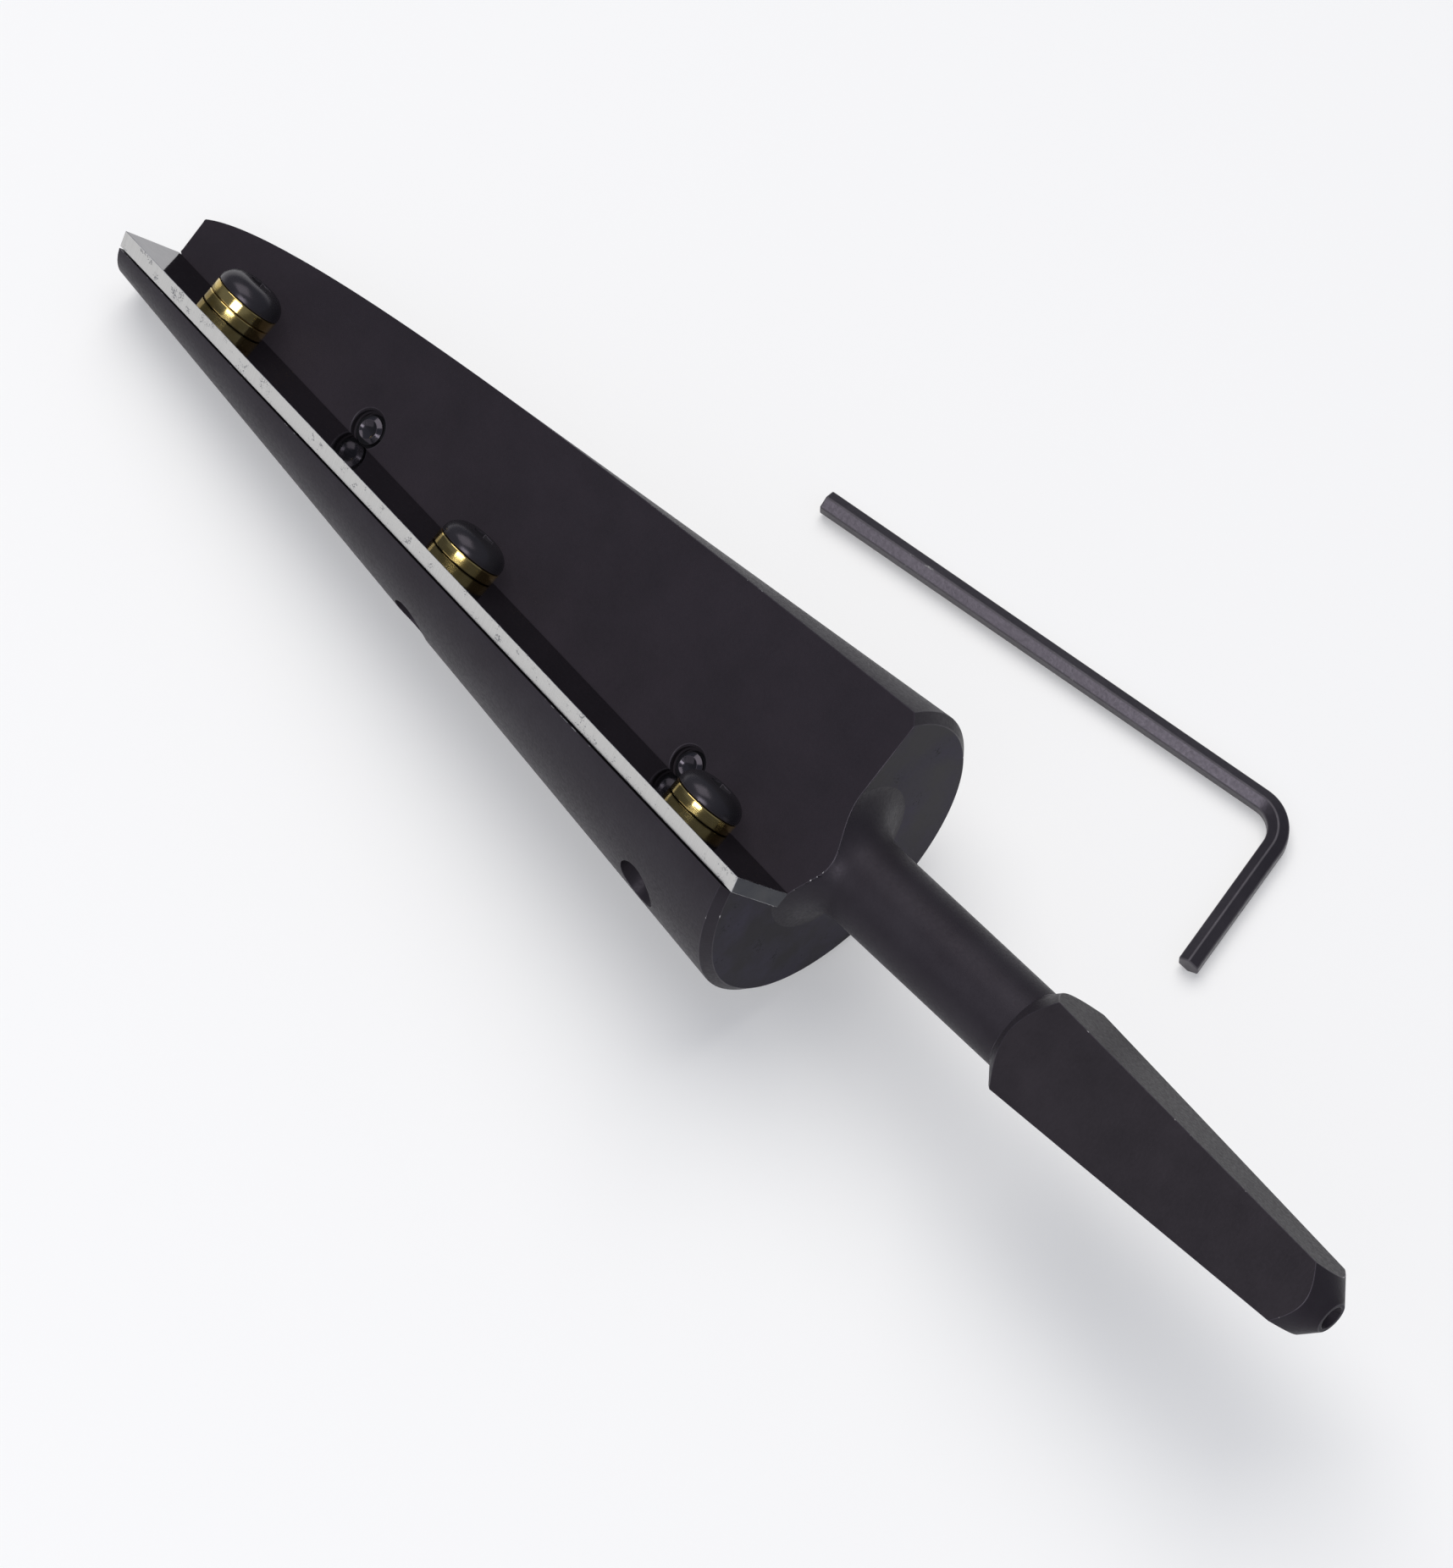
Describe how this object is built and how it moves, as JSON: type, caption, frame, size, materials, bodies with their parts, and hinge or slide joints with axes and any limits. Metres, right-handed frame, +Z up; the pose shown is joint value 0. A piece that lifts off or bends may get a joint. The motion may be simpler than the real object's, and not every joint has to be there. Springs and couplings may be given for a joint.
{
  "type": "hand plane",
  "caption": "Conical hand plane for tapered holes: a steel taper body with a clamped blade and a square tang for a brace, with its hex key",
  "frame": {"origin": "the middle of the footprint of the tool and its key, on the surface that they lie on", "axes": "+Z up; the tool lies on its side with its length along X, the tang towards +X and the small end towards -X; the open side with the blade and screws faces up and to -Y, and the key lies on the +Y side"},
  "size_m": [0.1836, 0.0638, 0.0326],
  "materials": {
    "black_steel": "satin black oxide with a faint brown tint, worn bright at its sharp edges",
    "blade_steel": "polished face, bevel ground crosswise",
    "black_fastener": "black oxide, semi gloss",
    "brass": "polished",
    "key_steel": "black, satin"
  },
  "bodies": {
    "reamer": {"reamer_body": "black_steel"},
    "blade": {"blade": "blade_steel"},
    "set_screw_1": {"set_screw_1": "black_fastener"},
    "set_screw_2": {"set_screw_2": "black_fastener"},
    "clamp_screw_1": {"clamp_screw_1": "black_fastener", "brass_washer_1_lower": "brass", "brass_washer_1_upper": "brass"},
    "clamp_screw_2": {"clamp_screw_2": "black_fastener", "brass_washer_2": "brass"},
    "clamp_screw_3": {"clamp_screw_3": "black_fastener", "brass_washer_3": "brass"},
    "hex_key": {"hex_key": "key_steel"}
  },
  "joints": [
    {"name": "blade_advance", "type": "slide", "parent": "reamer", "child": "blade", "axis": [-0.2039, -0.4653, 0.8614], "range_m": [0, 0.001]},
    {"name": "set_screw_1_feed", "type": "slide", "parent": "reamer", "child": "set_screw_1", "axis": [-0.2039, -0.4653, 0.8614], "range_m": [0, 0.001]},
    {"name": "set_screw_2_feed", "type": "slide", "parent": "reamer", "child": "set_screw_2", "axis": [-0.2039, -0.4653, 0.8614], "range_m": [0, 0.001]},
    {"name": "clamp_screw_1_turn", "type": "hinge", "parent": "reamer", "child": "clamp_screw_1", "pos_m": [-0.07815, -0.01485, 0.00647], "axis": [-0.0201, 0.8817, 0.4715], "range_deg": [0, 90]},
    {"name": "clamp_screw_2_turn", "type": "hinge", "parent": "reamer", "child": "clamp_screw_2", "pos_m": [-0.03704, -0.01816, 0.01442], "axis": [-0.0201, 0.8817, 0.4715], "range_deg": [0, 90]},
    {"name": "clamp_screw_3_turn", "type": "hinge", "parent": "reamer", "child": "clamp_screw_3", "pos_m": [0.00407, -0.02147, 0.02236], "axis": [-0.0201, 0.8817, 0.4715], "range_deg": [0, 90]},
    {"name": "hex_key_lift", "type": "slide", "parent": "reamer", "child": "hex_key", "axis": [0, 0, 1], "range_m": [0, 0.06]}
  ],
  "couplings": [
    {"joint": "set_screw_1_feed", "follows": "blade_advance", "ratio": 1},
    {"joint": "set_screw_2_feed", "follows": "blade_advance", "ratio": 1}
  ]
}
